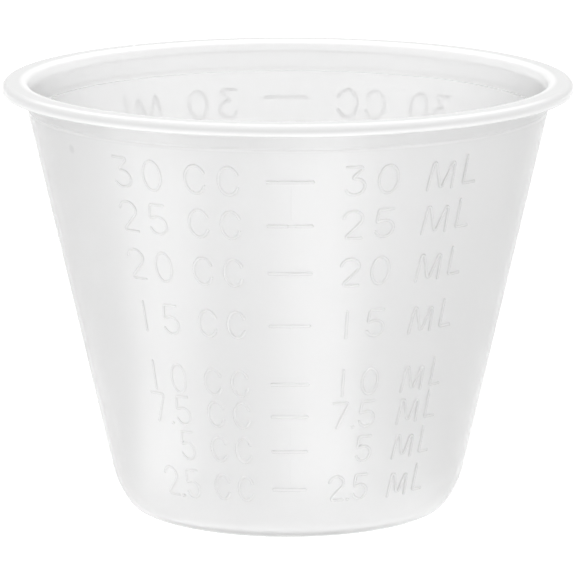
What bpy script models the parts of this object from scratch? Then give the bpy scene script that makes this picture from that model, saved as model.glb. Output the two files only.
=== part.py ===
"""Medicine cup for 30 mL, one injection moulding in thin frosted polypropylene.

Metres, +Z up. The cup stands on Z = 0 with its axis on Z, and the near scale faces -Y.
"""

import math

import bmesh
import bpy

# The wall is a straight cone, given by its outer face. The foot line is where that face would
# meet the table if it ran on straight down.
CUP_HEIGHT = 0.0370
FOOT_LINE_RADIUS = 0.01445
WALL_TAPER = math.radians(12.7)
WALL_THICKNESS = 0.0007

# The heel turns under the wall in two arcs, a wide one down to the heel's end angle and then a tight one.
HEEL_RADIUS = 0.0080
HEEL_END_ANGLE = math.radians(37)
EDGE_RADIUS = 0.0010

# The floor is thin and lies just above a narrow foot ring. The gate mark is left by the moulding.
FLOOR_THICKNESS = 0.0005
FLOOR_CORNER_RADIUS = 0.0016
FOOT_RECESS = 0.0002
FOOT_RING_WIDTH = 0.0012
RECESS_DRAFT = 0.0001
GATE_RADIUS = 0.0015
GATE_HEIGHT = 0.0001

# The lip is a solid flange round the mouth.
LIP_OVERHANG = 0.00184
LIP_HEIGHT = 0.0010
LIP_TOP_ROUND = 0.00058
LIP_UNDER_ROUND = 0.00022
LIP_INNER_ROUND = 0.0005
NECK_FILLET = 0.0003

# The neck band is thinner than the wall. A ledge inside carries the foot of the next cup in a stack,
# and a fine groove runs round the outside where the two halves of the mould meet.
NECK_HEIGHT = 0.0014
NECK_THICKNESS = 0.0005
LEDGE_DROP = 0.0003
GROOVE_WIDTH = 0.0004
GROOVE_DEPTH = 0.00007

# The scale is a column of raised bars on each side of the cup, each at the level where the inside
# holds its volume.
GRADUATIONS_ML = (30, 25, 20, 15, 10, 7.5, 5, 2.5)
SCALE_COLUMNS = 2
SCALE_AZIMUTH = math.radians(-89.5)
BAR_SWEEP = math.radians(10.6)
BAR_RADIUS = 0.00014
CUBIC_METRES_PER_ML = 1e-6

# Facets, and the distance within which doubled points are one
TURN_STEPS = 72
HEEL_STEPS = 6
ROUND_STEPS = 3
BAR_STEPS = 6
BAR_END_STEPS = 3
BAR_BEVEL_RESOLUTION = 2
SHARP_ANGLE = math.radians(35)
WELD_DISTANCE = 1e-6

# Frosted polypropylene
PLASTIC_COLOUR = (0.83, 0.84, 0.84, 1.0)
PLASTIC_ROUGHNESS = 0.42


def clear_scene():
    for item in list(bpy.data.objects):
        bpy.data.objects.remove(item, do_unlink=True)


def new_collection(name):
    collection = bpy.data.collections.new(name)
    bpy.context.scene.collection.children.link(collection)
    return collection


def arc(centre, radius, start, end, steps):
    """Points (r, z) on an arc, with angles measured from outward (+r) towards up (+z)."""
    r, z = centre
    angles = (start + (end - start) * i / steps for i in range(steps + 1))
    return [(r + radius * math.cos(a), z + radius * math.sin(a)) for a in angles]


def wall_radius(z, depth=0.0):
    """Radius of the wall's outer face at a height, or of the surface that lies this deep inside it."""
    return FOOT_LINE_RADIUS + z * math.tan(WALL_TAPER) - depth / math.cos(WALL_TAPER)


# Heights and centres that the inside and the outside of the section share
LIP_UNDERSIDE = CUP_HEIGHT - LIP_HEIGHT
GROOVE_LEVEL = LIP_UNDERSIDE - NECK_HEIGHT
LEDGE_LEVEL = GROOVE_LEVEL - LEDGE_DROP
FLOOR_LEVEL = FOOT_RECESS + FLOOR_THICKNESS
HEEL_LEVEL = EDGE_RADIUS + (HEEL_RADIUS - EDGE_RADIUS) * math.sin(HEEL_END_ANGLE)
HEEL_CENTRE = (wall_radius(HEEL_LEVEL, HEEL_RADIUS), HEEL_LEVEL)


def inside_section():
    """From the middle of the floor out round the corner, through the heel and up the wall to the ledge."""
    heel_radius = HEEL_RADIUS - WALL_THICKNESS
    reach = heel_radius - FLOOR_CORNER_RADIUS
    corner_level = FLOOR_LEVEL + FLOOR_CORNER_RADIUS
    corner_angle = math.asin((HEEL_LEVEL - corner_level) / reach)
    corner_centre = (HEEL_CENTRE[0] + reach * math.cos(corner_angle), corner_level)
    points = [(0, FLOOR_LEVEL)]
    points += arc(corner_centre, FLOOR_CORNER_RADIUS, -math.pi / 2, -corner_angle, ROUND_STEPS)
    points += arc(HEEL_CENTRE, heel_radius, -corner_angle, -WALL_TAPER, HEEL_STEPS)[1:]
    points += [(wall_radius(LEDGE_LEVEL, WALL_THICKNESS), LEDGE_LEVEL)]
    return points


def lip_section():
    """From the ledge up the inside of the neck, over the lip and back under it to the neck's outside."""
    inner_level = CUP_HEIGHT - LIP_INNER_ROUND
    inner_centre = (wall_radius(inner_level, NECK_THICKNESS - LIP_INNER_ROUND), inner_level)
    lip_radius = wall_radius(LIP_UNDERSIDE) + LIP_OVERHANG
    top_centre = (lip_radius - LIP_TOP_ROUND, CUP_HEIGHT - LIP_TOP_ROUND)
    under_centre = (lip_radius - LIP_UNDER_ROUND, LIP_UNDERSIDE + LIP_UNDER_ROUND)
    fillet_level = LIP_UNDERSIDE - NECK_FILLET
    fillet_centre = (wall_radius(fillet_level, -NECK_FILLET), fillet_level)
    points = [(wall_radius(LEDGE_LEVEL, NECK_THICKNESS), LEDGE_LEVEL)]
    points += arc(inner_centre, LIP_INNER_ROUND, math.pi - WALL_TAPER, math.pi / 2, ROUND_STEPS)
    points += arc(top_centre, LIP_TOP_ROUND, math.pi / 2, 0, ROUND_STEPS)
    points += arc(under_centre, LIP_UNDER_ROUND, 0, -math.pi / 2, ROUND_STEPS)
    points += arc(fillet_centre, NECK_FILLET, math.pi / 2, math.pi - WALL_TAPER, ROUND_STEPS)
    return points


def outside_section():
    """From the groove down the wall, round the heel and in under the foot to the gate mark."""
    groove_top = GROOVE_LEVEL + GROOVE_WIDTH / 2
    groove_foot = GROOVE_LEVEL - GROOVE_WIDTH / 2
    edge_radius = HEEL_CENTRE[0] + (HEEL_RADIUS - EDGE_RADIUS) * math.cos(HEEL_END_ANGLE)
    ring_radius = edge_radius - FOOT_RING_WIDTH
    points = [
        (wall_radius(groove_top), groove_top),
        (wall_radius(GROOVE_LEVEL, GROOVE_DEPTH), GROOVE_LEVEL),
        (wall_radius(groove_foot), groove_foot),
    ]
    points += arc(HEEL_CENTRE, HEEL_RADIUS, -WALL_TAPER, -HEEL_END_ANGLE, HEEL_STEPS)
    points += arc((edge_radius, EDGE_RADIUS), EDGE_RADIUS, -HEEL_END_ANGLE, -math.pi / 2, ROUND_STEPS)[1:]
    points += [
        (ring_radius, 0),
        (ring_radius - RECESS_DRAFT, FOOT_RECESS),
        (GATE_RADIUS + GATE_HEIGHT, FOOT_RECESS),
        (GATE_RADIUS, FOOT_RECESS - GATE_HEIGHT),
        (0, FOOT_RECESS - GATE_HEIGHT),
    ]
    return points


def volume_below(level, section):
    """Volume in a turned section below a level, added up as a stack of cone frusta."""
    total = 0
    for (low_r, low_z), (high_r, high_z) in zip(section, section[1:]):
        top = min(high_z, level)
        if top <= low_z:
            continue
        top_r = low_r + (high_r - low_r) * (top - low_z) / (high_z - low_z)
        total += math.pi * (top - low_z) * (low_r**2 + low_r * top_r + top_r**2) / 3
    return total


def level_holding(volume, section):
    """Level up to which a turned section holds this volume, found by halving."""
    low, high = section[0][1], section[-1][1]
    while high - low > WELD_DISTANCE:
        middle = (low + high) / 2
        if volume_below(middle, section) < volume:
            low = middle
        else:
            high = middle
    return low


def scale_levels():
    """Heights of the bars, for each volume that the cup holds below its stacking ledge."""
    section = inside_section()
    capacity = volume_below(LEDGE_LEVEL - 2 * BAR_RADIUS, section)
    volumes = (graduation * CUBIC_METRES_PER_ML for graduation in GRADUATIONS_ML)
    return [level_holding(volume, section) for volume in volumes if volume < capacity]


def outside_radius(z):
    """Radius of the outer face at a height, on the wall or on the wide arc of the heel below it."""
    drop = HEEL_LEVEL - z
    if drop < HEEL_RADIUS * math.sin(WALL_TAPER):
        return wall_radius(z)
    return HEEL_CENTRE[0] + math.sqrt(HEEL_RADIUS**2 - drop**2)


def turned_body(collection):
    """The bare cup, a section turned round Z."""
    points = inside_section() + lip_section() + outside_section()
    mesh = bpy.data.meshes.new("medicine_cup")
    edges = [(i, i + 1) for i in range(len(points) - 1)]
    mesh.from_pydata([(r, 0, z) for r, z in points], edges, [])
    cup = bpy.data.objects.new("medicine_cup", mesh)
    collection.objects.link(cup)
    turn = cup.modifiers.new("turn", "SCREW")
    turn.axis = "Z"
    turn.angle = math.tau
    turn.steps = TURN_STEPS
    turn.render_steps = TURN_STEPS
    turn.use_merge_vertices = True
    turn.merge_threshold = WELD_DISTANCE
    return cup


def bar_stations(radius):
    """Angles along one bar from its middle, each with the rod's thickness there. The ends are round noses."""
    nose = BAR_RADIUS / radius
    straight = BAR_SWEEP / 2 - nose
    turns = [math.pi / 2 * i / BAR_END_STEPS for i in range(1, BAR_END_STEPS)]
    ends = [(straight + nose * math.cos(turn), math.sin(turn)) for turn in turns]
    middle = [(straight * (2 * i / BAR_STEPS - 1), 1) for i in range(BAR_STEPS + 1)]
    return [(-angle, thickness) for angle, thickness in ends] + middle + ends[::-1]


def add_bar(curve, level, azimuth):
    """One bar of the scale, a rod that follows the wall with its centre line in the outer face."""
    radius = outside_radius(level)
    stations = bar_stations(radius)
    spline = curve.splines.new("POLY")
    spline.points.add(len(stations) - 1)
    for point, (angle, thickness) in zip(spline.points, stations):
        point.co = (radius * math.cos(azimuth + angle), radius * math.sin(azimuth + angle), level, 1)
        point.radius = thickness


def weld_caps(mesh):
    """Closes the seam between each rod's sides and its end caps."""
    work = bmesh.new()
    work.from_mesh(mesh)
    bmesh.ops.remove_doubles(work, verts=work.verts, dist=WELD_DISTANCE)
    work.to_mesh(mesh)
    work.free()


def evaluated_mesh(item):
    """A mesh of the object as its modifiers or its bevel leave it."""
    bpy.context.view_layer.update()
    return bpy.data.meshes.new_from_object(item.evaluated_get(bpy.context.evaluated_depsgraph_get()))


def scale_bars(collection):
    """All the bars as one mesh of closed rods, sunk half into the wall."""
    curve = bpy.data.curves.new("scale_bars", "CURVE")
    curve.dimensions = "3D"
    curve.bevel_depth = BAR_RADIUS
    curve.bevel_resolution = BAR_BEVEL_RESOLUTION
    curve.use_fill_caps = True
    for column in range(SCALE_COLUMNS):
        azimuth = SCALE_AZIMUTH + math.tau * column / SCALE_COLUMNS
        for level in scale_levels():
            add_bar(curve, level, azimuth)
    guide = bpy.data.objects.new("scale_guide", curve)
    collection.objects.link(guide)
    mesh = evaluated_mesh(guide)
    weld_caps(mesh)
    bars = bpy.data.objects.new("scale_bars", mesh)
    bars.matrix_world = guide.matrix_world
    bars.hide_render = True
    bars.display_type = "WIRE"
    collection.objects.link(bars)
    bpy.data.objects.remove(guide, do_unlink=True)
    return bars


def plastic():
    material = bpy.data.materials.new("frosted_polypropylene")
    material.use_nodes = True
    shader = material.node_tree.nodes["Principled BSDF"]
    shader.inputs["Base Color"].default_value = PLASTIC_COLOUR
    shader.inputs["Roughness"].default_value = PLASTIC_ROUGHNESS
    shader.inputs["Metallic"].default_value = 0
    return material


def build_cup():
    """The moulding: the turned body with the bars of the scale raised on its wall."""
    cup = turned_body(new_collection("medicine_cup"))
    join = cup.modifiers.new("scale", "BOOLEAN")
    join.operation = "UNION"
    join.solver = "EXACT"
    join.object = scale_bars(new_collection("cutters"))
    mesh = evaluated_mesh(cup)
    cup.modifiers.clear()
    cup.data = mesh
    mesh.materials.clear()
    mesh.materials.append(plastic())
    mesh.shade_smooth()
    mesh.set_sharp_from_angle(angle=SHARP_ANGLE)


clear_scene()
build_cup()
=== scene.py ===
"""Medicine cup for 30 mL in thin frosted polypropylene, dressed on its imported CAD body."""

import math

import bmesh
import bpy
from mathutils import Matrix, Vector


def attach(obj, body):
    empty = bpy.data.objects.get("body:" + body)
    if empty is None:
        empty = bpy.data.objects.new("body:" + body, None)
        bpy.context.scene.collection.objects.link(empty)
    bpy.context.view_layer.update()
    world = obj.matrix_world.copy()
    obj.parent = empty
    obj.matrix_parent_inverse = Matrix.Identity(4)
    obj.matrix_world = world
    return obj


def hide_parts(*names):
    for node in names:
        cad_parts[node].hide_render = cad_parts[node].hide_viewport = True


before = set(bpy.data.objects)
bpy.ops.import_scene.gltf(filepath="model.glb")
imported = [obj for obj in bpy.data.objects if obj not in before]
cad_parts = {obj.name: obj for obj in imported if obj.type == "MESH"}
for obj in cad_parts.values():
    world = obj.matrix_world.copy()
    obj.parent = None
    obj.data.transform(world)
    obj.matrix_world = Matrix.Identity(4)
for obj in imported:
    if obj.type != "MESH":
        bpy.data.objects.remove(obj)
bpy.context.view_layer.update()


# The camera
# The photograph was taken from a little above the rim, through a long lens, with the near scale
# facing the viewer.
CAMERA_PLACE = (0.0, -0.3899, 0.0984)
CAMERA_PITCH = math.radians(11.55)
LENS_MM = 288.5
SENSOR_MM = 36.0

lens = bpy.data.cameras.new("camera")
lens.lens = LENS_MM
lens.sensor_width = SENSOR_MM
lens.clip_start = 0.01
lens.clip_end = 20.0
camera = bpy.data.objects.new("camera", lens)
camera.location = CAMERA_PLACE
camera.rotation_euler = (math.pi / 2 - CAMERA_PITCH, 0, 0)
bpy.context.scene.collection.objects.link(camera)
bpy.context.scene.camera = camera


# The cup's body
# One injection moulding in thin frosted polypropylene: a straight tapered wall on a rounded heel, a
# stacking ledge inside, a thinner neck band over it and a solid rounded lip. Its faces were turned,
# so the body here is a section turned round Z, with the sizes of the CAD solid and finer steps.
CUP_HEIGHT = 0.0370
FOOT_LINE_RADIUS = 0.01445
WALL_TAPER = math.radians(12.7)
WALL_THICKNESS = 0.0007
HEEL_RADIUS = 0.0080
HEEL_END_ANGLE = math.radians(37)
EDGE_RADIUS = 0.0010
FLOOR_THICKNESS = 0.0005
FLOOR_CORNER_RADIUS = 0.0016
FOOT_RECESS = 0.0002
FOOT_RING_WIDTH = 0.0012
RECESS_DRAFT = 0.0001
GATE_RADIUS = 0.0015
GATE_HEIGHT = 0.0001
LIP_OVERHANG = 0.00184
LIP_HEIGHT = 0.0010
LIP_TOP_ROUND = 0.00058
LIP_UNDER_ROUND = 0.00022
LIP_INNER_ROUND = 0.0005
NECK_FILLET = 0.0003
NECK_HEIGHT = 0.0014
NECK_THICKNESS = 0.0005
LEDGE_DROP = 0.0003
GROOVE_WIDTH = 0.0004
GROOVE_DEPTH = 0.00007
GROOVE_SHOULDER = 0.00004
TURN_STEPS = 192
HEEL_STEPS = 14
ROUND_STEPS = 8
WALL_STEPS = 12
FLOOR_STEPS = 4
WELD_DISTANCE = 1e-6


def wall_radius(z, depth=0.0):
    """Radius of the wall's outer face at a height, or of the surface this deep inside it."""
    return FOOT_LINE_RADIUS + z * math.tan(WALL_TAPER) - depth / math.cos(WALL_TAPER)


LIP_UNDERSIDE = CUP_HEIGHT - LIP_HEIGHT
GROOVE_LEVEL = LIP_UNDERSIDE - NECK_HEIGHT
LEDGE_LEVEL = GROOVE_LEVEL - LEDGE_DROP
FLOOR_LEVEL = FOOT_RECESS + FLOOR_THICKNESS
HEEL_LEVEL = EDGE_RADIUS + (HEEL_RADIUS - EDGE_RADIUS) * math.sin(HEEL_END_ANGLE)
HEEL_CENTRE = (wall_radius(HEEL_LEVEL, HEEL_RADIUS), HEEL_LEVEL)


def arc(centre, radius, start, end, steps):
    """Points (r, z) on an arc, with angles measured from outward (+r) towards up (+z)."""
    r, z = centre
    angles = (start + (end - start) * i / steps for i in range(steps + 1))
    return [(r + radius * math.cos(a), z + radius * math.sin(a)) for a in angles]


def straight(start, end, steps):
    """Points (r, z) on a straight line, without its first point."""
    shares = [i / steps for i in range(1, steps + 1)]
    return [tuple(a + (b - a) * share for a, b in zip(start, end)) for share in shares]


def inside_section():
    """From the floor's middle out round the corner, through the heel and up the wall to the ledge."""
    heel_radius = HEEL_RADIUS - WALL_THICKNESS
    reach = heel_radius - FLOOR_CORNER_RADIUS
    corner_level = FLOOR_LEVEL + FLOOR_CORNER_RADIUS
    corner_angle = math.asin((HEEL_LEVEL - corner_level) / reach)
    corner_centre = (HEEL_CENTRE[0] + reach * math.cos(corner_angle), corner_level)
    points = [(0, FLOOR_LEVEL)]
    points += straight(points[-1], (corner_centre[0], FLOOR_LEVEL), FLOOR_STEPS)
    points += arc(corner_centre, FLOOR_CORNER_RADIUS, -math.pi / 2, -corner_angle, ROUND_STEPS)[1:]
    points += arc(HEEL_CENTRE, heel_radius, -corner_angle, -WALL_TAPER, HEEL_STEPS)[1:]
    points += straight(points[-1], (wall_radius(LEDGE_LEVEL, WALL_THICKNESS), LEDGE_LEVEL), WALL_STEPS)
    return points


def lip_section():
    """From the ledge up the inside of the neck, over the lip and back under it to the neck's outside."""
    inner_level = CUP_HEIGHT - LIP_INNER_ROUND
    inner_centre = (wall_radius(inner_level, NECK_THICKNESS - LIP_INNER_ROUND), inner_level)
    lip_radius = wall_radius(LIP_UNDERSIDE) + LIP_OVERHANG
    top_centre = (lip_radius - LIP_TOP_ROUND, CUP_HEIGHT - LIP_TOP_ROUND)
    under_centre = (lip_radius - LIP_UNDER_ROUND, LIP_UNDERSIDE + LIP_UNDER_ROUND)
    fillet_level = LIP_UNDERSIDE - NECK_FILLET
    fillet_centre = (wall_radius(fillet_level, -NECK_FILLET), fillet_level)
    points = [(wall_radius(LEDGE_LEVEL, NECK_THICKNESS), LEDGE_LEVEL)]
    points += arc(inner_centre, LIP_INNER_ROUND, math.pi - WALL_TAPER, math.pi / 2, ROUND_STEPS)
    points += arc(top_centre, LIP_TOP_ROUND, math.pi / 2, 0, ROUND_STEPS)
    points += arc(under_centre, LIP_UNDER_ROUND, 0, -math.pi / 2, ROUND_STEPS)
    points += arc(fillet_centre, NECK_FILLET, math.pi / 2, math.pi - WALL_TAPER, ROUND_STEPS)
    return points


def outside_section():
    """From the groove down the wall, round the heel and in under the foot to the gate mark. A point
    just above the groove and one just below it keep its shading off the flat wall."""
    groove_top = GROOVE_LEVEL + GROOVE_WIDTH / 2
    groove_foot = GROOVE_LEVEL - GROOVE_WIDTH / 2
    edge_radius = HEEL_CENTRE[0] + (HEEL_RADIUS - EDGE_RADIUS) * math.cos(HEEL_END_ANGLE)
    ring_radius = edge_radius - FOOT_RING_WIDTH
    heel = arc(HEEL_CENTRE, HEEL_RADIUS, -WALL_TAPER, -HEEL_END_ANGLE, HEEL_STEPS)
    points = [
        (wall_radius(groove_top + GROOVE_SHOULDER), groove_top + GROOVE_SHOULDER),
        (wall_radius(groove_top), groove_top),
        (wall_radius(GROOVE_LEVEL, GROOVE_DEPTH), GROOVE_LEVEL),
        (wall_radius(groove_foot), groove_foot),
        (wall_radius(groove_foot - GROOVE_SHOULDER), groove_foot - GROOVE_SHOULDER),
    ]
    points += straight(points[-1], heel[0], WALL_STEPS)
    points += heel[1:]
    points += arc((edge_radius, EDGE_RADIUS), EDGE_RADIUS, -HEEL_END_ANGLE, -math.pi / 2, ROUND_STEPS)[1:]
    points += [
        (ring_radius, 0),
        (ring_radius - RECESS_DRAFT, FOOT_RECESS),
        (GATE_RADIUS + GATE_HEIGHT, FOOT_RECESS),
        (GATE_RADIUS, FOOT_RECESS - GATE_HEIGHT),
        (0, FOOT_RECESS - GATE_HEIGHT),
    ]
    return points


def evaluated_mesh(item):
    """A mesh of the object as its modifiers leave it."""
    bpy.context.view_layer.update()
    return bpy.data.meshes.new_from_object(item.evaluated_get(bpy.context.evaluated_depsgraph_get()))


def turned_body():
    """The bare cup, a section turned round Z."""
    points = inside_section() + lip_section() + outside_section()
    mesh = bpy.data.meshes.new("frosted_cup")
    edges = [(i, i + 1) for i in range(len(points) - 1)]
    mesh.from_pydata([(r, 0, z) for r, z in points], edges, [])
    body = bpy.data.objects.new("frosted_cup", mesh)
    bpy.context.scene.collection.objects.link(body)
    turn = body.modifiers.new("turn", "SCREW")
    turn.axis = "Z"
    turn.angle = math.tau
    turn.steps = TURN_STEPS
    turn.render_steps = TURN_STEPS
    turn.use_merge_vertices = True
    turn.merge_threshold = WELD_DISTANCE
    body.data = evaluated_mesh(body)
    body.modifiers.clear()
    return body


cup = turned_body()


# The raised scale
# The mould was engraved with a ball-ended cutter, so each bar and each stroke of the numbers and units
# stands on the wall as part of a round rod. Both sides of the cup carry the same scale. A bar lies at
# the level where the inside holds its volume.
GRADUATIONS_ML = ("30", "25", "20", "15", "10", "7.5", "5", "2.5")
SCALE_SIDES = 2
SCALE_AZIMUTH = math.radians(-89.5)
BAR_SWEEP = math.radians(10.6)
BAR_RADIUS = 0.00014
BAR_STEPS = 8
NOTCHED_BAR = "25"
NOTCH = (math.radians(-0.7), math.radians(1.4))
DOTTED_BAR = "15"
BRIDGE_RADIUS = 0.00008
WITNESS_BARS = (("30", "25"), ("7.5", "5"), ("5", "2.5"))
WITNESS_TURN = math.radians(0.2)
WITNESS_GAP = 0.0005
WITNESS_RADIUS = 0.00002
GLYPH_TURN = math.radians(-0.4)
FAR_GLYPH_DROP = 0.00045
CUBIC_METRES_PER_ML = 1e-6
ROD_SIDES = 12
NOSE_STEPS = 3
STATION_SPACING = 0.0003
CORNER_STEPS = 5
CORNER_SHARE = 0.45
DOT_STUB = 0.00002
SHARP_ANGLE = math.radians(35)


def volume_below(level, section):
    """Volume in a turned section below a level, added up as a stack of cone frusta."""
    total = 0
    for (low_r, low_z), (high_r, high_z) in zip(section, section[1:]):
        top = min(high_z, level)
        if top <= low_z:
            continue
        top_r = low_r + (high_r - low_r) * (top - low_z) / (high_z - low_z)
        total += math.pi * (top - low_z) * (low_r**2 + low_r * top_r + top_r**2) / 3
    return total


def level_holding(volume, section):
    """Level up to which a turned section holds this volume, found by halving."""
    low, high = section[0][1], section[-1][1]
    while high - low > WELD_DISTANCE:
        middle = (low + high) / 2
        if volume_below(middle, section) < volume:
            low = middle
        else:
            high = middle
    return low


def outside_radius(z):
    """Radius of the outer face at a height, on the wall or on the wide arc of the heel below it."""
    drop = HEEL_LEVEL - z
    if drop < HEEL_RADIUS * math.sin(WALL_TAPER):
        return wall_radius(z)
    return HEEL_CENTRE[0] + math.sqrt(HEEL_RADIUS**2 - drop**2)


def on_wall(azimuth, z, sink):
    """A point this deep under the outer face at an azimuth and a height, and the face's normal there."""
    radius = outside_radius(z)
    lean = math.atan2(outside_radius(z + WELD_DISTANCE) - radius, WELD_DISTANCE)
    outward = Vector((math.cos(azimuth), math.sin(azimuth), 0))
    normal = outward * math.cos(lean) - Vector((0, 0, math.sin(lean)))
    return outward * radius + Vector((0, 0, z)) - normal * sink, normal


def evenly(points, spacing):
    """The same path with points added, so that none are further apart than the spacing."""
    path = [points[0]]
    for end in points[1:]:
        start = path[-1]
        steps = max(1, math.ceil(math.dist(start, end) / spacing))
        path += straight(start, end, steps)
    return path


def add_ring(work, centre, normal, across, radius):
    """One ring of a rod's points round its centre line."""
    ring = []
    for side in range(ROD_SIDES):
        turn = math.tau * (side + 0.5) / ROD_SIDES
        place = centre + radius * (math.cos(turn) * normal + math.sin(turn) * across)
        ring.append(work.verts.new(place))
    return ring


def add_rod(work, path, closed, radius, sink=0.0):
    """A round rod along a path of (azimuth, z) points, its centre line in or under the outer face."""
    stations = [on_wall(azimuth, z, sink) for azimuth, z in path]
    count = len(stations)
    rings = []
    for i, (centre, normal) in enumerate(stations):
        before = stations[(i - 1) % count][0] if closed or i else centre
        after = stations[(i + 1) % count][0] if closed or i < count - 1 else centre
        along = (after - before).normalized()
        rings.append((centre, normal, normal.cross(along).normalized(), along, 1.0))
    if not closed:
        turns = [math.pi / 2 * step / NOSE_STEPS for step in range(1, NOSE_STEPS)]
        for end, sense in ((0, -1), (-1, 1)):
            centre, normal, across, along, _ = rings[end]
            nose = [
                (centre + sense * radius * math.sin(turn) * along, normal, across, along, math.cos(turn))
                for turn in turns
            ]
            rings = nose[::-1] + rings if sense < 0 else rings + nose
    loops = [add_ring(work, c, n, a, radius * share) for c, n, a, _, share in rings]
    pairs = list(zip(loops, loops[1:] + loops[:1])) if closed else list(zip(loops, loops[1:]))
    for first, second in pairs:
        for side in range(ROD_SIDES):
            other = (side + 1) % ROD_SIDES
            work.faces.new((first[side], first[other], second[other], second[side]))
    if not closed:
        for end, sense in ((0, -1), (-1, 1)):
            rim_centre, _, _, along, share = rings[end]
            reach = radius * (1 - math.sin(math.acos(share)))
            pole = work.verts.new(rim_centre + sense * reach * along)
            for side in range(ROD_SIDES):
                other = (side + 1) % ROD_SIDES
                corners = (loops[end][side], loops[end][other], pole)
                work.faces.new(corners if sense > 0 else corners[::-1])


def add_dot(work, azimuth, z, radius, sink=0.0):
    """A round dot on the wall, as a very short rod."""
    nudge = DOT_STUB / outside_radius(z)
    add_rod(work, [(azimuth - nudge, z), (azimuth + nudge, z)], False, radius, sink)


def oval(centre, reach, start, end, steps=14):
    """Points on an oval in a glyph's cell, with its angles in degrees from the right towards the top."""
    points = []
    for i in range(steps + 1):
        turn = math.radians(start + (end - start) * i / steps)
        points.append((centre[0] + reach[0] * math.cos(turn), centre[1] + reach[1] * math.sin(turn), 0))
    return points


# Each glyph is one stroke in a cell one wide and one high: (x, y, 1 where the corner is rounded).
GLYPHS = {
    "0": oval((0.5, 0.5), (0.5, 0.5), 90, 450, 24)[:-1],
    "1": [(0.5, 1, 0), (0.5, 0, 0)],
    "2": oval((0.5, 0.72), (0.5, 0.28), 172, -40) + [(0.04, 0, 1), (1, 0, 0)],
    "3": [(0.05, 1, 0), (0.97, 1, 1), (0.3, 0.58, 1)] + oval((0.5, 0.29), (0.5, 0.29), 72, -155),
    "5": [(0.92, 1, 0), (0.12, 1, 1), (0.05, 0.53, 1)] + oval((0.5, 0.3), (0.5, 0.3), 118, -160),
    "7": [(0, 1, 0), (1, 1, 1), (0.28, 0, 0)],
    "C": oval((0.5, 0.5), (0.5, 0.5), 28, 332, 20),
    "M": [(0, 0, 0), (0.17, 1.12, 1), (0.53, -0.06, 1), (1, 1.12, 1), (0.98, 0, 0)],
    "L": [(0.06, 1, 0), (0, 0.07, 1), (1, 0.07, 0)],
}
CLOSED_GLYPHS = "0"
STROKE_RADIUS = 0.00013

# How deep the strokes' centre lines lie: left numbers, left units, right numbers, right units
NEAR_SINKS = (0.00006, 0.000035, 0.00003, 0.00001)
FAR_SINKS = (0.0, 0.0, 0.0, 0.0)

# The rounding of a stroke's corners, and the decimal point
CORNER_RADIUS = 0.00016
DOT_RADIUS = 0.00016
DOT_SINK = 0.00005


def rounded(points, radius):
    """The glyph's path with each marked corner turned into an arc."""
    path = []
    for i, (x, y, corner) in enumerate(points):
        here = Vector((x, y))
        if not corner:
            path.append((x, y))
            continue
        before = Vector(points[i - 1][:2]) - here
        after = Vector(points[i + 1][:2]) - here
        half = before.angle(after) / 2
        setback = min(radius / math.tan(half), CORNER_SHARE * before.length, CORNER_SHARE * after.length)
        start = here + before.normalized() * setback
        end = here + after.normalized() * setback
        inward = (before.normalized() + after.normalized()).normalized()
        centre = here + inward * setback / math.cos(half)
        from_centre = start - centre
        sweep = from_centre.angle_signed(end - centre)
        for step in range(CORNER_STEPS + 1):
            turn = -sweep * step / CORNER_STEPS
            c, s = math.cos(turn), math.sin(turn)
            x = centre.x + from_centre.x * c - from_centre.y * s
            y = centre.y + from_centre.x * s + from_centre.y * c
            path.append((x, y))
    return path


def add_glyph(work, sign, middle, sweep, level, height, sink):
    """One glyph on the wall. Middle and sweep are azimuths, and height is measured up the wall."""
    radius = outside_radius(level)
    width = sweep * radius
    cell = [((x - 0.5) * width, (y - 0.5) * height, corner) for x, y, corner in GLYPHS[sign]]
    path = rounded(cell, CORNER_RADIUS)
    closed = sign in CLOSED_GLYPHS
    if closed:
        path = evenly(path + path[:1], STATION_SPACING)[:-1]
    else:
        path = evenly(path, STATION_SPACING)
    placed = [(middle + x / radius, level + y * math.cos(WALL_TAPER)) for x, y in path]
    add_rod(work, placed, closed, STROKE_RADIUS, sink)


# The columns of the scale, as the middle and the sweep of their glyphs in degrees, from the bar's middle
# towards the viewer's right. The right columns spread a little further apart towards the foot. The
# heights are in millimetres, at the 30 mark and at the 2.5 mark.
NEAR_LEFT = ((-39.2, 4.6), (-31.1, 4.4), (-20.6, 4.7), (-13.05, 4.5))
FAR_LEFT = ((-39.8, 4.2), (-33.4, 4.5), (-21.6, 5.0), (-14.6, 5.0))
RIGHT_DIGITS = ((14.6, 4.4), (22.2, 4.5))
RIGHT_UNITS = (("M", 35.5, 6.8), ("L", 43.9, 3.6))
RIGHT_SPREAD = 0.024
TALL_GLYPHS_MM = (2.6, 2.5)
SHORT_GLYPHS_MM = (2.45, 2.2)
METRES_PER_MM = 0.001


def add_number(work, number, columns, zero, level, height, sink):
    """A number of one or two digits. A lone digit stands in the second column, and a point before it."""
    digits = number.replace(".", "")
    for digit, (middle, sweep) in zip(digits, columns[-len(digits):]):
        add_glyph(work, digit, zero + math.radians(middle), math.radians(sweep), level, height, sink)
    if "." in number:
        (first, first_sweep), (second, second_sweep) = columns
        middle = (first + first_sweep / 2 + second - second_sweep / 2) / 2
        foot = level - height / 2 * math.cos(WALL_TAPER)
        add_dot(work, zero + math.radians(middle), foot, DOT_RADIUS, DOT_SINK)


def add_bar(work, zero, level, notch):
    """A bar with round ends, in two lengths where a notch parts it."""
    half = BAR_SWEEP / 2 - BAR_RADIUS / outside_radius(level)
    lengths = [(-half, notch[0]), (notch[1], half)] if notch else [(-half, half)]
    for start, end in lengths:
        bar = [(zero + start + (end - start) * i / BAR_STEPS, level) for i in range(BAR_STEPS + 1)]
        add_rod(work, bar, False, BAR_RADIUS)


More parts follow.
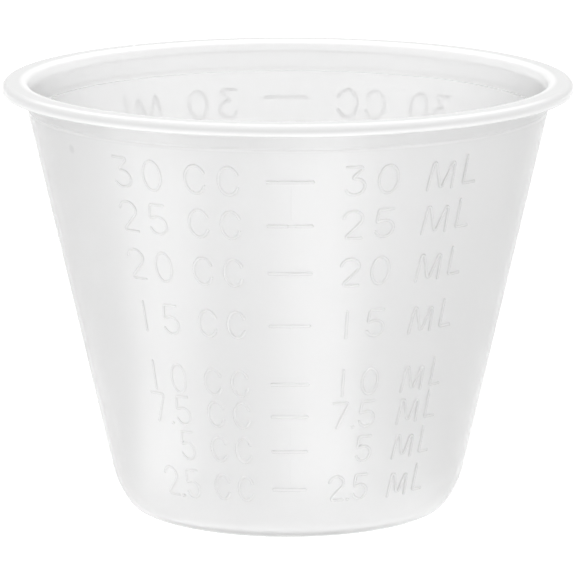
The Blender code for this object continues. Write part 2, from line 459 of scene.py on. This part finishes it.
def add_scale(work, zero, marked):
    """All the bars, numbers and units on one side of the cup."""
    section = inside_section()
    for row, graduation in enumerate(GRADUATIONS_ML):
        level = level_holding(float(graduation) * CUBIC_METRES_PER_ML, section)
        share = row / (len(GRADUATIONS_ML) - 1)
        tall, short = (
            (top + (foot - top) * share) * METRES_PER_MM for top, foot in (TALL_GLYPHS_MM, SHORT_GLYPHS_MM)
        )
        add_bar(work, zero, level, NOTCH if marked and graduation == NOTCHED_BAR else None)
        start = zero + GLYPH_TURN
        row_level = level if marked else level - FAR_GLYPH_DROP
        left_sink, left_unit_sink, right_sink, right_unit_sink = NEAR_SINKS if marked else FAR_SINKS
        left = NEAR_LEFT if marked else FAR_LEFT
        add_number(work, graduation, left[:2], start, row_level, tall, left_sink)
        for middle, sweep in left[2:]:
            azimuth = start + math.radians(middle)
            add_glyph(work, "C", azimuth, math.radians(sweep), row_level, short, left_unit_sink)
        spread = 1 + RIGHT_SPREAD * share
        right = [(middle * spread, sweep) for middle, sweep in RIGHT_DIGITS]
        add_number(work, graduation, right, start, row_level, short, right_sink)
        for sign, middle, sweep in RIGHT_UNITS:
            azimuth = start + math.radians(middle * spread)
            add_glyph(work, sign, azimuth, math.radians(sweep), row_level, tall, right_unit_sink)


def scale_rods():
    """The whole scale as closed rods, sunk half or more into the wall."""
    work = bmesh.new()
    for side in range(SCALE_SIDES):
        add_scale(work, SCALE_AZIMUTH + math.tau * side / SCALE_SIDES, side == 0)
    return work


def mould_marks():
    """Small faults of the mould on the near side: a thin bridge in the notched bar, a dot under another
    bar, and a fine upright witness line that shows between some of the bars."""
    work = bmesh.new()
    section = inside_section()
    levels = {mark: level_holding(float(mark) * CUBIC_METRES_PER_ML, section) for mark in GRADUATIONS_ML}
    start, end = (SCALE_AZIMUTH + turn for turn in NOTCH)
    level = levels[NOTCHED_BAR]
    add_rod(work, [(start, level), (end, level)], False, BRIDGE_RADIUS)
    azimuth = SCALE_AZIMUTH + WITNESS_TURN
    add_dot(work, azimuth, levels[DOTTED_BAR] - BAR_RADIUS, BRIDGE_RADIUS)
    for upper, lower in WITNESS_BARS:
        top = levels[upper] - WITNESS_GAP
        bottom = levels[lower] + WITNESS_GAP
        line = evenly([(azimuth, bottom), (azimuth, top)], STATION_SPACING)
        add_rod(work, line, False, WITNESS_RADIUS)
    return work


def join_rods(body, work):
    """Makes the body and a set of rods that are sunk in its wall one closed skin."""
    bmesh.ops.recalc_face_normals(work, faces=work.faces)
    mesh = bpy.data.meshes.new("rods")
    work.to_mesh(mesh)
    work.free()
    rods = bpy.data.objects.new("rods", mesh)
    bpy.context.scene.collection.objects.link(rods)
    join = body.modifiers.new("scale", "BOOLEAN")
    join.operation = "UNION"
    join.solver = "MANIFOLD"
    join.object = rods
    body.data = evaluated_mesh(body)
    body.modifiers.clear()
    bpy.data.objects.remove(rods, do_unlink=True)


join_rods(cup, scale_rods())
join_rods(cup, mould_marks())
cup.data.shade_smooth()
cup.data.set_sharp_from_angle(angle=SHARP_ANGLE)


# Frosted polypropylene
# Natural polypropylene with no pigment, moulded against a matt tool: milky and translucent, with a satin
# gloss, faint clouding from the flow of the melt and one dark fleck of burnt material in the wall. The
# solid lip is milkier than the thin wall. Painted shade darkens the lip's outer edge, the cup from the
# groove up, the strokes and the groove's upper flank, and a painted highlight lightens its lower flank.
MILK_WHITE = 0.90
WALL_CLARITY = 0.75
SATIN_ROUGHNESS = 0.34
PLASTIC_IOR = 1.49
SKIN_IOR = 1.7
SKIN_ROUGHNESS = 0.2
GRAIN_SCALE = 9000.0
GRAIN_STRENGTH = 0.15
GRAIN_HEIGHT = 0.00002
CLOUD_SCALE = 120.0
CLOUD_WHITE = 0.02
CLOUD_ROUGHNESS = 0.06
NOISE_DETAIL = 2.0
LIP_CLARITY = 0.15
LIP_GREY = 0.02
LIP_BLEND = (-0.0002, 0.0002)
# Painted shade on the lip's outer part, above its underside
LIP_EDGE = (0.0225, 0.0231)
LIP_EDGE_FOOT = (0.0001, 0.0005)
LIP_EDGE_PAINTED_SHADE = 0.26
# Painted shade: a little darker from just under the groove up, inside and out
NECK_FOOT = (-0.0007, 0.0)
NECK_PAINTED_SHADE = 0.018

# Painted shade on the groove's upper flank and a painted highlight on its lower one, on the outside only.
# Heights are from its middle.
GROOVE_MIDDLE = (-0.00004, 0.00006)
GROOVE_TOP = (0.0003, 0.00018)
GROOVE_FOOT = (-0.00024, -0.00016)
GROOVE_RELIEF = (-0.0003, -0.0002)
GROOVE_PAINTED_SHADE = 0.05
GROOVE_PAINTED_HIGHLIGHT = 0.09

# Painted shade on the strokes, beside the bars: on the far side, deepest at its units, and towards +X on
# both sides.
STROKE_RELIEF = (0.00003, 0.00009)
BESIDE_BAR = (0.003, 0.004)
RIGHT_STROKE_PAINTED_SHADE = 0.03
FAR_SIDE = (0.0, 0.005)
FAR_STROKE_PAINTED_SHADE = 0.07
FAR_UNITS = (-0.0092, -0.0105)
FAR_UNIT_PAINTED_SHADE = 0.12

FLECK_PLACE = (-0.01797, -0.01258, 0.03305)
FLECK_EDGE = (0.000504, 0.000216)
FLECK_SHADE = 0.13


class Field:
    """A socket's value, so that shader maths reads as plain arithmetic."""

    def __init__(self, finish, socket):
        self.finish = finish
        self.socket = socket

    def other(self, output):
        """Another output of the same node."""
        return Field(self.finish, self.socket.node.outputs[output])

    def maths(self, operation, first, second):
        return self.finish.node("ShaderNodeMath", {"operation": operation}, {0: first, 1: second})

    def __add__(self, other):
        return self.maths("ADD", self, other)

    def __radd__(self, other):
        return self.maths("ADD", other, self)

    def __sub__(self, other):
        return self.maths("SUBTRACT", self, other)

    def __rsub__(self, other):
        return self.maths("SUBTRACT", other, self)

    def __mul__(self, other):
        return self.maths("MULTIPLY", self, other)

    def __rmul__(self, other):
        return self.maths("MULTIPLY", other, self)

    def rise(self, start, end):
        """0 to 1 as the value passes softly from start to end, which may be the lower of the two."""
        soft = {"interpolation_type": "SMOOTHSTEP"}
        ends = {"Value": self, "From Min": start, "From Max": end}
        return self.finish.node("ShaderNodeMapRange", soft, ends)

    def size(self):
        """The value without its sign."""
        return self.finish.node("ShaderNodeMath", {"operation": "ABSOLUTE"}, {0: self})


class Finish:
    """The shader of a material or of the world, in the making."""

    def __init__(self, owner):
        owner.use_nodes = True
        self.tree = owner.node_tree
        self.tree.nodes.clear()

    def node(self, kind, settings, sockets, output=0):
        """A node with its settings made first and then its sockets filled or linked."""
        item = self.tree.nodes.new(kind)
        for key, value in settings.items():
            setattr(item, key, value)
        for key, value in sockets.items():
            socket = item.inputs[key]
            if isinstance(value, Field):
                self.tree.links.new(value.socket, socket)
            else:
                socket.default_value = value
        return Field(self, item.outputs[output]) if output is not None else None


def plastic(finish, white, roughness, bump, clarity):
    """Frosted plastic with a satin skin, the clearer the more light it lets through."""
    sockets = {
        "Base Color": finish.node("ShaderNodeCombineXYZ", {}, {0: white, 1: white, 2: white}),
        "Roughness": roughness,
        "IOR": PLASTIC_IOR,
        "Transmission Weight": clarity,
        "Specular IOR Level": 1.0,
        "Coat Weight": 1.0,
        "Coat Roughness": SKIN_ROUGHNESS,
        "Coat IOR": SKIN_IOR,
        "Normal": bump,
    }
    return finish.node("ShaderNodeBsdfPrincipled", {}, sockets, "BSDF")


def noise(finish, place, scale):
    sockets = {"Vector": place, "Scale": scale, "Detail": NOISE_DETAIL}
    return finish.node("ShaderNodeTexNoise", {}, sockets, "Fac")


def frosted_polypropylene():
    material = bpy.data.materials.new("frosted_polypropylene")
    finish = Finish(material)
    place = finish.node("ShaderNodeTexCoord", {}, {}, "Object")
    across = finish.node("ShaderNodeSeparateXYZ", {}, {"Vector": place}, "X")
    away = across.other("Y")
    height = across.other("Z")
    flat = finish.node("ShaderNodeCombineXYZ", {}, {"X": across, "Y": away})
    radius = finish.node("ShaderNodeVectorMath", {"operation": "LENGTH"}, {0: flat}, "Value")
    relief = radius - (FOOT_LINE_RADIUS + height * math.tan(WALL_TAPER))
    over_groove = height - GROOVE_LEVEL
    into_lip = height - LIP_UNDERSIDE

    # Painted shade on the groove's upper flank and a painted highlight on its lower flank
    above = over_groove.rise(*GROOVE_MIDDLE)
    upper_flank_painted_shade = over_groove.rise(*GROOVE_TOP) * above
    lower_flank_painted_highlight = over_groove.rise(*GROOVE_FOOT) * (1 - above)
    groove = (upper_flank_painted_shade * GROOVE_PAINTED_SHADE - lower_flank_painted_highlight * GROOVE_PAINTED_HIGHLIGHT) * relief.rise(*GROOVE_RELIEF)

    # Painted shade on the strokes, on the far side and towards +X
    far_painted_shade = away.rise(*FAR_SIDE) * across.size().rise(*BESIDE_BAR)
    far_painted_shade = far_painted_shade * (FAR_STROKE_PAINTED_SHADE + across.rise(*FAR_UNITS) * FAR_UNIT_PAINTED_SHADE)
    right = across.rise(*BESIDE_BAR) * RIGHT_STROKE_PAINTED_SHADE
    painted_stroke_shade = relief.rise(*STROKE_RELIEF) * over_groove.rise(NECK_HEIGHT, 0) * (far_painted_shade + right)

    from_fleck = {0: place, 1: FLECK_PLACE}
    fleck = finish.node("ShaderNodeVectorMath", {"operation": "DISTANCE"}, from_fleck, "Value")
    fleck = fleck.rise(*FLECK_EDGE) * FLECK_SHADE
    # Painted shade from just under the groove up
    neck = over_groove.rise(*NECK_FOOT) * NECK_PAINTED_SHADE
    # Painted shade on the lip's outer part
    edge = radius.rise(*LIP_EDGE) * into_lip.rise(*LIP_EDGE_FOOT)
    clouding = noise(finish, place, CLOUD_SCALE)
    white = MILK_WHITE + clouding * CLOUD_WHITE - fleck - neck - painted_stroke_shade - groove
    roughness = SATIN_ROUGHNESS + clouding * CLOUD_ROUGHNESS

    grain = {
        "Strength": GRAIN_STRENGTH,
        "Distance": GRAIN_HEIGHT,
        "Height": noise(finish, place, GRAIN_SCALE),
    }
    bump = finish.node("ShaderNodeBump", {}, grain, "Normal")
    wall = plastic(finish, white, roughness, bump, WALL_CLARITY)
    rim = plastic(finish, white - LIP_GREY - edge * LIP_EDGE_PAINTED_SHADE, roughness, bump, LIP_CLARITY)
    layers = {0: into_lip.rise(*LIP_BLEND), 1: wall, 2: rim}
    surface = finish.node("ShaderNodeMixShader", {}, layers, "Shader")
    finish.node("ShaderNodeOutputMaterial", {}, {"Surface": surface}, None)
    return material


cup.data.materials.clear()
cup.data.materials.append(frosted_polypropylene())
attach(cup, "root")
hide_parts("medicine_cup")


# The floor
# A wide sheet, dark grey in colour, that glows as a lamp. It shows plain white, as the ground of a cut-out
# picture does, and it lights the cup with a glow that is brighter in front, in a ring at the heel and in
# two fans, which the satin wall mirrors as soft upright bands, and dimmer behind, which darkens the cup's
# sides.
FLOOR_REACH = 3.0
FLOOR_GREY = (0.05, 0.05, 0.05, 1.0)
FLOOR_ROUGHNESS = 0.08
SHOWN_WHITE = 1.0
FLOOR_GLOW = 0.85
HEEL_GLOW = 0.47
HEEL_GLOW_START = (0.0124, 0.0149)
HEEL_GLOW_END = (0.032, 0.016)
HEEL_GLOW_SIDE = (0.0, -0.012)
FRONT_GLOW = 0.12
FRONT_EDGE = (-0.028, -0.045)
BACK_GLOW = -0.15
BACK_EDGE = (0.02, 0.05)

# Each fan's middle azimuth, from the front towards +X, its half width where it starts to fade and where
# it ends, and its gain
FRONT_FAN = (math.radians(15), math.radians(4), math.radians(27), 0.72)
LEFT_FAN = (math.radians(-60), math.radians(5), math.radians(31), 0.74)
FAN_START = (0.016, 0.026)
FAN_END = (0.12, 0.06)


def white_sheet():
    material = bpy.data.materials.new("white_sheet")
    finish = Finish(material)
    place = finish.node("ShaderNodeTexCoord", {}, {}, "Object")
    across = finish.node("ShaderNodeSeparateXYZ", {}, {"Vector": place}, "X")
    away = across.other("Y")
    azimuth = finish.node("ShaderNodeMath", {"operation": "ARCTAN2"}, {0: across, 1: 0 - away})
    reach = finish.node("ShaderNodeVectorMath", {"operation": "LENGTH"}, {0: place}, "Value")
    heel = reach.rise(*HEEL_GLOW_START) * reach.rise(*HEEL_GLOW_END) * away.rise(*HEEL_GLOW_SIDE)
    glow = FLOOR_GLOW + HEEL_GLOW * heel + FRONT_GLOW * away.rise(*FRONT_EDGE)
    glow = glow + BACK_GLOW * away.rise(*BACK_EDGE)
    nearby = reach.rise(*FAN_START) * reach.rise(*FAN_END)
    for middle, core, edge, gain in (FRONT_FAN, LEFT_FAN):
        glow = glow + gain * (azimuth - middle).size().rise(edge, core) * nearby
    seen = finish.node("ShaderNodeLightPath", {}, {}, "Is Camera Ray")
    glow = glow + seen * (SHOWN_WHITE - glow)
    sockets = {
        "Base Color": FLOOR_GREY,
        "Roughness": FLOOR_ROUGHNESS,
        "Emission Color": finish.node("ShaderNodeCombineXYZ", {}, {0: glow, 1: glow, 2: glow}),
        "Emission Strength": 1.0,
    }
    surface = finish.node("ShaderNodeBsdfPrincipled", {}, sockets, "BSDF")
    finish.node("ShaderNodeOutputMaterial", {}, {"Surface": surface}, None)
    return material


def white_floor():
    mesh = bpy.data.meshes.new("floor")
    corners = [(-FLOOR_REACH, -FLOOR_REACH, 0), (FLOOR_REACH, -FLOOR_REACH, 0)]
    corners += [(FLOOR_REACH, FLOOR_REACH, 0), (-FLOOR_REACH, FLOOR_REACH, 0)]
    mesh.from_pydata(corners, [], [(0, 1, 2, 3)])
    mesh.materials.append(white_sheet())
    item = bpy.data.objects.new("floor", mesh)
    bpy.context.scene.collection.objects.link(item)
    return item


floor = white_floor()


# The light
# A white room that is brightest overhead, brighter in front and at the sides, and dimmer low down
# behind the cup, with one wide softbox above and behind it, which draws the bright line on the lip.
ROOM_LIGHT = 0.97
BACKDROP_LIGHT = -0.12
BACKDROP_TURN = (0.2, 0.9)
BACKDROP_TOP = (0.6, 0.3)
CEILING_LIGHT = 0.75
CEILING_RISE = (0.3, 1.0)
FRONT_LIGHT = 0.15
FRONT_TURN = (-0.2, -0.8)
FRONT_TOP = (0.85, 0.5)
SIDE_LIGHT = 0.2
SIDE_TURN = (0.4, 0.9)
SOFTBOX_PLACE = (0.0, 0.40, 0.48)
SOFTBOX_AIM = (0.0, 0.0, 0.03)
SOFTBOX_SIZE = (0.80, 0.42)
SOFTBOX_POWER = 0.7


def white_room():
    world = bpy.data.worlds.new("white_room")
    room = Finish(world)
    direction = room.node("ShaderNodeTexCoord", {}, {}, "Generated")
    side = room.node("ShaderNodeSeparateXYZ", {}, {"Vector": direction}, "X")
    back = side.other("Y")
    up = side.other("Z")
    strength = ROOM_LIGHT + CEILING_LIGHT * up.rise(*CEILING_RISE)
    strength = strength + BACKDROP_LIGHT * back.rise(*BACKDROP_TURN) * up.rise(*BACKDROP_TOP)
    strength = strength + FRONT_LIGHT * back.rise(*FRONT_TURN) * up.rise(*FRONT_TOP)
    strength = strength + SIDE_LIGHT * side.size().rise(*SIDE_TURN)
    light = room.node("ShaderNodeBackground", {}, {"Color": (1.0, 1.0, 1.0, 1.0), "Strength": strength})
    room.node("ShaderNodeOutputWorld", {}, {"Surface": light}, None)
    bpy.context.scene.world = world


def softbox():
    lamp = bpy.data.lights.new("softbox", "AREA")
    lamp.shape = "RECTANGLE"
    lamp.size, lamp.size_y = SOFTBOX_SIZE
    lamp.energy = SOFTBOX_POWER
    item = bpy.data.objects.new("softbox", lamp)
    item.location = SOFTBOX_PLACE
    towards = Vector(SOFTBOX_AIM) - Vector(SOFTBOX_PLACE)
    item.rotation_euler = towards.to_track_quat("-Z", "Y").to_euler()
    bpy.context.scene.collection.objects.link(item)


white_room()
softbox()
bpy.context.scene.view_settings.view_transform = "Standard"
